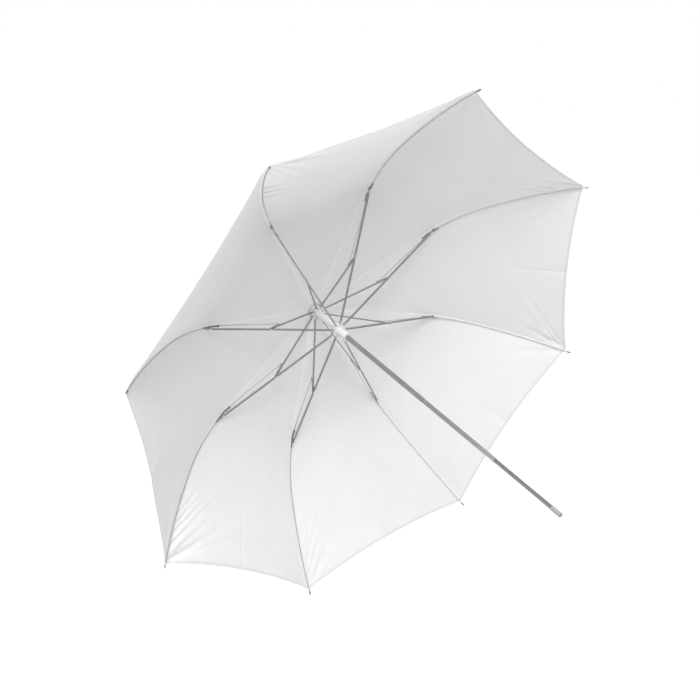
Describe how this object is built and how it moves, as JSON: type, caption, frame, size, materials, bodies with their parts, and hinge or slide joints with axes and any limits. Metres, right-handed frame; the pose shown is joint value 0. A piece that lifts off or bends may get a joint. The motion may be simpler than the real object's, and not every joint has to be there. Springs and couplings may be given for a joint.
{
  "type": "umbrella reflector",
  "caption": "White translucent lighting umbrella with a two-fold rib frame, sliding runner, crown hub and telescoping steel shaft.",
  "frame": {"origin": "on the shaft's axis, at the middle of the bare stretch of the middle tube, where a stand adapter's umbrella hole grips it", "axes": "+Y along the shaft from the tail to the crown, +Z along the first spoke, +X sideways"},
  "size_m": [0.9544, 0.6219, 0.9544],
  "materials": {
    "canopy_cloth": "thin white translucent nylon",
    "white_plastic": "glossy white",
    "cap_plastic": "light grey, smooth",
    "rib_steel": "nickel plated, satin",
    "shaft_steel": "bright drawn tube"
  },
  "bodies": {
    "grip_tube": {"mid_tube": "shaft_steel"},
    "upper_shaft": {"main_tube": "shaft_steel", "crown_hub": "white_plastic", "crown_wire": "rib_steel", "canopy_cap": "white_plastic"},
    "tail_shaft": {"tail_tube": "shaft_steel", "end_cap": "cap_plastic"},
    "runner": {"runner": "white_plastic", "runner_wire": "rib_steel", "runner_clip": "rib_steel"},
    "crown_strut_1": {"crown_strut_1": "rib_steel"},
    "main_rib_1": {"main_rib_1": "rib_steel"},
    "control_rod_1": {"control_rod_1": "rib_steel"},
    "outer_rib_1": {"outer_rib_1": "rib_steel", "canopy_outer_1": "canopy_cloth"},
    "canopy_inner_1": {"canopy_inner_1": "canopy_cloth"},
    "crown_strut_2": {"crown_strut_2": "rib_steel"},
    "main_rib_2": {"main_rib_2": "rib_steel"},
    "control_rod_2": {"control_rod_2": "rib_steel"},
    "outer_rib_2": {"outer_rib_2": "rib_steel", "canopy_outer_2": "canopy_cloth"},
    "canopy_inner_2": {"canopy_inner_2": "canopy_cloth"},
    "crown_strut_3": {"crown_strut_3": "rib_steel"},
    "main_rib_3": {"main_rib_3": "rib_steel"},
    "control_rod_3": {"control_rod_3": "rib_steel"},
    "outer_rib_3": {"outer_rib_3": "rib_steel", "canopy_outer_3": "canopy_cloth"},
    "canopy_inner_3": {"canopy_inner_3": "canopy_cloth"},
    "crown_strut_4": {"crown_strut_4": "rib_steel"},
    "main_rib_4": {"main_rib_4": "rib_steel"},
    "control_rod_4": {"control_rod_4": "rib_steel"},
    "outer_rib_4": {"outer_rib_4": "rib_steel", "canopy_outer_4": "canopy_cloth"},
    "canopy_inner_4": {"canopy_inner_4": "canopy_cloth"},
    "crown_strut_5": {"crown_strut_5": "rib_steel"},
    "main_rib_5": {"main_rib_5": "rib_steel"},
    "control_rod_5": {"control_rod_5": "rib_steel"},
    "outer_rib_5": {"outer_rib_5": "rib_steel", "canopy_outer_5": "canopy_cloth"},
    "canopy_inner_5": {"canopy_inner_5": "canopy_cloth"},
    "crown_strut_6": {"crown_strut_6": "rib_steel"},
    "main_rib_6": {"main_rib_6": "rib_steel"},
    "control_rod_6": {"control_rod_6": "rib_steel"},
    "outer_rib_6": {"outer_rib_6": "rib_steel", "canopy_outer_6": "canopy_cloth"},
    "canopy_inner_6": {"canopy_inner_6": "canopy_cloth"},
    "crown_strut_7": {"crown_strut_7": "rib_steel"},
    "main_rib_7": {"main_rib_7": "rib_steel"},
    "control_rod_7": {"control_rod_7": "rib_steel"},
    "outer_rib_7": {"outer_rib_7": "rib_steel", "canopy_outer_7": "canopy_cloth"},
    "canopy_inner_7": {"canopy_inner_7": "canopy_cloth"},
    "crown_strut_8": {"crown_strut_8": "rib_steel"},
    "main_rib_8": {"main_rib_8": "rib_steel"},
    "control_rod_8": {"control_rod_8": "rib_steel"},
    "outer_rib_8": {"outer_rib_8": "rib_steel", "canopy_outer_8": "canopy_cloth"},
    "canopy_inner_8": {"canopy_inner_8": "canopy_cloth"}
  },
  "joints": [
    {"name": "main_tube_slide", "type": "slide", "parent": "grip_tube", "child": "upper_shaft", "axis": [0, -1, 0], "range_m": [0, 0.165]},
    {"name": "tail_tube_slide", "type": "slide", "parent": "grip_tube", "child": "tail_shaft", "axis": [0, 1, 0], "range_m": [0, 0.118]},
    {"name": "runner_slide", "type": "slide", "parent": "upper_shaft", "child": "runner", "axis": [0, -1, 0], "range_m": [0, 0.19343]},
    {"name": "crown_hinge_1", "type": "hinge", "parent": "upper_shaft", "child": "crown_strut_1", "pos_m": [0.002, 0.385, 0.0095], "axis": [1, 0, 0], "range_deg": [0, 64.24]},
    {"name": "runner_hinge_1", "type": "hinge", "parent": "runner", "child": "main_rib_1", "pos_m": [0, 0.321, 0.01], "axis": [-1, 0, 0], "range_deg": [0, 79.39]},
    {"name": "elbow_hinge_1", "type": "hinge", "parent": "main_rib_1", "child": "outer_rib_1", "pos_m": [0.002, 0.349, 0.2515], "axis": [1, 0, 0], "range_deg": [0, 132.98], "deforming": ["canopy_outer_1"]},
    {"name": "rod_hinge_1", "type": "hinge", "parent": "crown_strut_1", "child": "control_rod_1", "pos_m": [0.0034, 0.34648, 0.11232], "axis": [-1, 0, 0], "range_deg": [0, 153.49]},
    {"name": "canopy_fold_1", "type": "hinge", "parent": "upper_shaft", "child": "canopy_inner_1", "pos_m": [0.00495, 0.3942, 0.01195], "axis": [0.9239, 0, -0.3827], "range_deg": [0, 75.5], "deforming": ["canopy_inner_1"]},
    {"name": "crown_hinge_2", "type": "hinge", "parent": "upper_shaft", "child": "crown_strut_2", "pos_m": [0.00813, 0.385, 0.0053], "axis": [0.7071, 0, -0.7071], "range_deg": [0, 64.24]},
    {"name": "runner_hinge_2", "type": "hinge", "parent": "runner", "child": "main_rib_2", "pos_m": [0.00707, 0.321, 0.00707], "axis": [-0.7071, 0, 0.7071], "range_deg": [0, 79.39]},
    {"name": "elbow_hinge_2", "type": "hinge", "parent": "main_rib_2", "child": "outer_rib_2", "pos_m": [0.17925, 0.349, 0.17642], "axis": [0.7071, 0, -0.7071], "range_deg": [0, 132.98], "deforming": ["canopy_outer_2"]},
    {"name": "rod_hinge_2", "type": "hinge", "parent": "crown_strut_2", "child": "control_rod_2", "pos_m": [0.08183, 0.34648, 0.07702], "axis": [-0.7071, 0, 0.7071], "range_deg": [0, 153.49]},
    {"name": "canopy_fold_2", "type": "hinge", "parent": "upper_shaft", "child": "canopy_inner_2", "pos_m": [0.01195, 0.3942, 0.00495], "axis": [0.3827, 0, -0.9239], "range_deg": [0, 75.5], "deforming": ["canopy_inner_2"]},
    {"name": "crown_hinge_3", "type": "hinge", "parent": "upper_shaft", "child": "crown_strut_3", "pos_m": [0.0095, 0.385, -0.002], "axis": [0, 0, -1], "range_deg": [0, 64.24]},
    {"name": "runner_hinge_3", "type": "hinge", "parent": "runner", "child": "main_rib_3", "pos_m": [0.01, 0.321, 0], "axis": [0, 0, 1], "range_deg": [0, 79.39]},
    {"name": "elbow_hinge_3", "type": "hinge", "parent": "main_rib_3", "child": "outer_rib_3", "pos_m": [0.2515, 0.349, -0.002], "axis": [0, 0, -1], "range_deg": [0, 132.98], "deforming": ["canopy_outer_3"]},
    {"name": "rod_hinge_3", "type": "hinge", "parent": "crown_strut_3", "child": "control_rod_3", "pos_m": [0.11232, 0.34648, -0.0034], "axis": [0, 0, 1], "range_deg": [0, 153.49]},
    {"name": "canopy_fold_3", "type": "hinge", "parent": "upper_shaft", "child": "canopy_inner_3", "pos_m": [0.01195, 0.3942, -0.00495], "axis": [-0.3827, 0, -0.9239], "range_deg": [0, 75.5], "deforming": ["canopy_inner_3"]},
    {"name": "crown_hinge_4", "type": "hinge", "parent": "upper_shaft", "child": "crown_strut_4", "pos_m": [0.0053, 0.385, -0.00813], "axis": [-0.7071, 0, -0.7071], "range_deg": [0, 64.24]},
    {"name": "runner_hinge_4", "type": "hinge", "parent": "runner", "child": "main_rib_4", "pos_m": [0.00707, 0.321, -0.00707], "axis": [0.7071, 0, 0.7071], "range_deg": [0, 79.39]},
    {"name": "elbow_hinge_4", "type": "hinge", "parent": "main_rib_4", "child": "outer_rib_4", "pos_m": [0.17642, 0.349, -0.17925], "axis": [-0.7071, 0, -0.7071], "range_deg": [0, 132.98], "deforming": ["canopy_outer_4"]},
    {"name": "rod_hinge_4", "type": "hinge", "parent": "crown_strut_4", "child": "control_rod_4", "pos_m": [0.07702, 0.34648, -0.08183], "axis": [0.7071, 0, 0.7071], "range_deg": [0, 153.49]},
    {"name": "canopy_fold_4", "type": "hinge", "parent": "upper_shaft", "child": "canopy_inner_4", "pos_m": [0.00495, 0.3942, -0.01195], "axis": [-0.9239, 0, -0.3827], "range_deg": [0, 75.5], "deforming": ["canopy_inner_4"]},
    {"name": "crown_hinge_5", "type": "hinge", "parent": "upper_shaft", "child": "crown_strut_5", "pos_m": [-0.002, 0.385, -0.0095], "axis": [-1, 0, 0], "range_deg": [0, 64.24]},
    {"name": "runner_hinge_5", "type": "hinge", "parent": "runner", "child": "main_rib_5", "pos_m": [0, 0.321, -0.01], "axis": [1, 0, 0], "range_deg": [0, 79.39]},
    {"name": "elbow_hinge_5", "type": "hinge", "parent": "main_rib_5", "child": "outer_rib_5", "pos_m": [-0.002, 0.349, -0.2515], "axis": [-1, 0, 0], "range_deg": [0, 132.98], "deforming": ["canopy_outer_5"]},
    {"name": "rod_hinge_5", "type": "hinge", "parent": "crown_strut_5", "child": "control_rod_5", "pos_m": [-0.0034, 0.34648, -0.11232], "axis": [1, 0, 0], "range_deg": [0, 153.49]},
    {"name": "canopy_fold_5", "type": "hinge", "parent": "upper_shaft", "child": "canopy_inner_5", "pos_m": [-0.00495, 0.3942, -0.01195], "axis": [-0.9239, 0, 0.3827], "range_deg": [0, 75.5], "deforming": ["canopy_inner_5"]},
    {"name": "crown_hinge_6", "type": "hinge", "parent": "upper_shaft", "child": "crown_strut_6", "pos_m": [-0.00813, 0.385, -0.0053], "axis": [-0.7071, 0, 0.7071], "range_deg": [0, 64.24]},
    {"name": "runner_hinge_6", "type": "hinge", "parent": "runner", "child": "main_rib_6", "pos_m": [-0.00707, 0.321, -0.00707], "axis": [0.7071, 0, -0.7071], "range_deg": [0, 79.39]},
    {"name": "elbow_hinge_6", "type": "hinge", "parent": "main_rib_6", "child": "outer_rib_6", "pos_m": [-0.17925, 0.349, -0.17642], "axis": [-0.7071, 0, 0.7071], "range_deg": [0, 132.98], "deforming": ["canopy_outer_6"]},
    {"name": "rod_hinge_6", "type": "hinge", "parent": "crown_strut_6", "child": "control_rod_6", "pos_m": [-0.08183, 0.34648, -0.07702], "axis": [0.7071, 0, -0.7071], "range_deg": [0, 153.49]},
    {"name": "canopy_fold_6", "type": "hinge", "parent": "upper_shaft", "child": "canopy_inner_6", "pos_m": [-0.01195, 0.3942, -0.00495], "axis": [-0.3827, 0, 0.9239], "range_deg": [0, 75.5], "deforming": ["canopy_inner_6"]},
    {"name": "crown_hinge_7", "type": "hinge", "parent": "upper_shaft", "child": "crown_strut_7", "pos_m": [-0.0095, 0.385, 0.002], "axis": [0, 0, 1], "range_deg": [0, 64.24]},
    {"name": "runner_hinge_7", "type": "hinge", "parent": "runner", "child": "main_rib_7", "pos_m": [-0.01, 0.321, 0], "axis": [0, 0, -1], "range_deg": [0, 79.39]},
    {"name": "elbow_hinge_7", "type": "hinge", "parent": "main_rib_7", "child": "outer_rib_7", "pos_m": [-0.2515, 0.349, 0.002], "axis": [0, 0, 1], "range_deg": [0, 132.98], "deforming": ["canopy_outer_7"]},
    {"name": "rod_hinge_7", "type": "hinge", "parent": "crown_strut_7", "child": "control_rod_7", "pos_m": [-0.11232, 0.34648, 0.0034], "axis": [0, 0, -1], "range_deg": [0, 153.49]},
    {"name": "canopy_fold_7", "type": "hinge", "parent": "upper_shaft", "child": "canopy_inner_7", "pos_m": [-0.01195, 0.3942, 0.00495], "axis": [0.3827, 0, 0.9239], "range_deg": [0, 75.5], "deforming": ["canopy_inner_7"]},
    {"name": "crown_hinge_8", "type": "hinge", "parent": "upper_shaft", "child": "crown_strut_8", "pos_m": [-0.0053, 0.385, 0.00813], "axis": [0.7071, 0, 0.7071], "range_deg": [0, 64.24]},
    {"name": "runner_hinge_8", "type": "hinge", "parent": "runner", "child": "main_rib_8", "pos_m": [-0.00707, 0.321, 0.00707], "axis": [-0.7071, 0, -0.7071], "range_deg": [0, 79.39]},
    {"name": "elbow_hinge_8", "type": "hinge", "parent": "main_rib_8", "child": "outer_rib_8", "pos_m": [-0.17642, 0.349, 0.17925], "axis": [0.7071, 0, 0.7071], "range_deg": [0, 132.98], "deforming": ["canopy_outer_8"]},
    {"name": "rod_hinge_8", "type": "hinge", "parent": "crown_strut_8", "child": "control_rod_8", "pos_m": [-0.07702, 0.34648, 0.08183], "axis": [-0.7071, 0, -0.7071], "range_deg": [0, 153.49]},
    {"name": "canopy_fold_8", "type": "hinge", "parent": "upper_shaft", "child": "canopy_inner_8", "pos_m": [-0.00495, 0.3942, 0.01195], "axis": [0.9239, 0, 0.3827], "range_deg": [0, 75.5], "deforming": ["canopy_inner_8"]}
  ],
  "couplings": [
    {"joint": "crown_hinge_1", "follows": "runner_slide", "rad_per_m": 5.7967},
    {"joint": "runner_hinge_1", "follows": "runner_slide", "rad_per_m": 7.1631},
    {"joint": "elbow_hinge_1", "follows": "runner_slide", "rad_per_m": 11.999},
    {"joint": "rod_hinge_1", "follows": "runner_slide", "rad_per_m": 13.85},
    {"joint": "canopy_fold_1", "follows": "runner_slide", "rad_per_m": 6.8124},
    {"joint": "crown_hinge_2", "follows": "runner_slide", "rad_per_m": 5.7967},
    {"joint": "runner_hinge_2", "follows": "runner_slide", "rad_per_m": 7.1631},
    {"joint": "elbow_hinge_2", "follows": "runner_slide", "rad_per_m": 11.999},
    {"joint": "rod_hinge_2", "follows": "runner_slide", "rad_per_m": 13.85},
    {"joint": "canopy_fold_2", "follows": "runner_slide", "rad_per_m": 6.8124},
    {"joint": "crown_hinge_3", "follows": "runner_slide", "rad_per_m": 5.7967},
    {"joint": "runner_hinge_3", "follows": "runner_slide", "rad_per_m": 7.1631},
    {"joint": "elbow_hinge_3", "follows": "runner_slide", "rad_per_m": 11.999},
    {"joint": "rod_hinge_3", "follows": "runner_slide", "rad_per_m": 13.85},
    {"joint": "canopy_fold_3", "follows": "runner_slide", "rad_per_m": 6.8124},
    {"joint": "crown_hinge_4", "follows": "runner_slide", "rad_per_m": 5.7967},
    {"joint": "runner_hinge_4", "follows": "runner_slide", "rad_per_m": 7.1631},
    {"joint": "elbow_hinge_4", "follows": "runner_slide", "rad_per_m": 11.999},
    {"joint": "rod_hinge_4", "follows": "runner_slide", "rad_per_m": 13.85},
    {"joint": "canopy_fold_4", "follows": "runner_slide", "rad_per_m": 6.8124},
    {"joint": "crown_hinge_5", "follows": "runner_slide", "rad_per_m": 5.7967},
    {"joint": "runner_hinge_5", "follows": "runner_slide", "rad_per_m": 7.1631},
    {"joint": "elbow_hinge_5", "follows": "runner_slide", "rad_per_m": 11.999},
    {"joint": "rod_hinge_5", "follows": "runner_slide", "rad_per_m": 13.85},
    {"joint": "canopy_fold_5", "follows": "runner_slide", "rad_per_m": 6.8124},
    {"joint": "crown_hinge_6", "follows": "runner_slide", "rad_per_m": 5.7967},
    {"joint": "runner_hinge_6", "follows": "runner_slide", "rad_per_m": 7.1631},
    {"joint": "elbow_hinge_6", "follows": "runner_slide", "rad_per_m": 11.999},
    {"joint": "rod_hinge_6", "follows": "runner_slide", "rad_per_m": 13.85},
    {"joint": "canopy_fold_6", "follows": "runner_slide", "rad_per_m": 6.8124},
    {"joint": "crown_hinge_7", "follows": "runner_slide", "rad_per_m": 5.7967},
    {"joint": "runner_hinge_7", "follows": "runner_slide", "rad_per_m": 7.1631},
    {"joint": "elbow_hinge_7", "follows": "runner_slide", "rad_per_m": 11.999},
    {"joint": "rod_hinge_7", "follows": "runner_slide", "rad_per_m": 13.85},
    {"joint": "canopy_fold_7", "follows": "runner_slide", "rad_per_m": 6.8124},
    {"joint": "crown_hinge_8", "follows": "runner_slide", "rad_per_m": 5.7967},
    {"joint": "runner_hinge_8", "follows": "runner_slide", "rad_per_m": 7.1631},
    {"joint": "elbow_hinge_8", "follows": "runner_slide", "rad_per_m": 11.999},
    {"joint": "rod_hinge_8", "follows": "runner_slide", "rad_per_m": 13.85},
    {"joint": "canopy_fold_8", "follows": "runner_slide", "rad_per_m": 6.8124}
  ]
}
